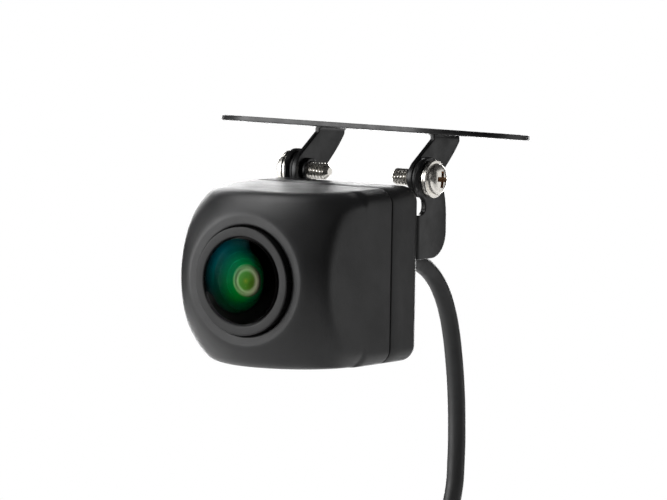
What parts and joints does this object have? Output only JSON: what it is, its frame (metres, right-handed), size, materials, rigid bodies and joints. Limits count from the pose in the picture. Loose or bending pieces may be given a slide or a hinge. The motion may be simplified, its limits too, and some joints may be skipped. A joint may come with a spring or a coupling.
{
  "type": "backup camera",
  "caption": "Small cube-shaped reversing camera that tilts between the tabs of a flat oval mounting plate, with a short lead and plug.",
  "frame": {"origin": "middle of the mounting plate's upper face", "axes": "+Z out of the mounting face, lens looks towards -Y, +X along the plate and the tilt axis"},
  "size_m": [0.0574, 0.08, 0.1314],
  "materials": {
    "coated_steel": "satin black powder coat on sheet steel",
    "chrome": "bright nickel plating",
    "steel": "bright zinc-plated steel",
    "nylon": "matt black nylon",
    "casing": "fine-grained matt black moulding",
    "bezel": "satin dark grey moulding",
    "rubber": "matt black rubber",
    "lens_glass": "coated lens glass with green and blue reflections",
    "barrel": "black anodised barrel",
    "filter": "reddish infra-red filter",
    "sensor": "dark image sensor under clear glass",
    "circuit_board": "green solder mask",
    "cord_jacket": "smooth satin black cable jacket"
  },
  "bodies": {
    "bracket": {"mounting_plate": "coated_steel", "pivot_screw_right": "chrome", "pivot_screw_left": "chrome"},
    "head": {"spring_washer_right": "chrome", "spring_washer_left": "chrome", "friction_washer_right": "nylon", "friction_washer_left": "nylon", "rear_bracket": "coated_steel", "front_housing": "casing", "rear_cover": "casing", "housing_seal": "rubber", "lens_bezel": "bezel", "lens_seal": "rubber", "front_lens": "lens_glass", "lens_barrel": "barrel", "middle_lens": "lens_glass", "rear_lens": "lens_glass", "lens_holder": "barrel", "ir_filter": "filter", "image_sensor": "sensor", "sensor_board": "circuit_board", "signal_board": "circuit_board", "cable_header": "nylon", "cable_gland": "rubber", "cord_lead": "cord_jacket", "cord_coil": "cord_jacket", "cord_tail": "cord_jacket", "cord_tie": "nylon", "plug_grip": "rubber", "plug_shell": "nylon", "plug_insert": "nylon", "case_screw_lower_left": "steel", "board_spacer_lower_left": "steel", "case_screw_lower_right": "steel", "board_spacer_lower_right": "steel", "case_screw_upper_left": "steel", "board_spacer_upper_left": "steel", "case_screw_upper_right": "steel", "board_spacer_upper_right": "steel", "bracket_screw_left": "steel", "bracket_screw_right": "steel"}
  },
  "joints": [
    {"name": "head_tilt", "type": "hinge", "parent": "bracket", "child": "head", "pos_m": [0, -0.0032, -0.0084], "axis": [1, 0, 0], "range_deg": [-30, 45]}
  ]
}
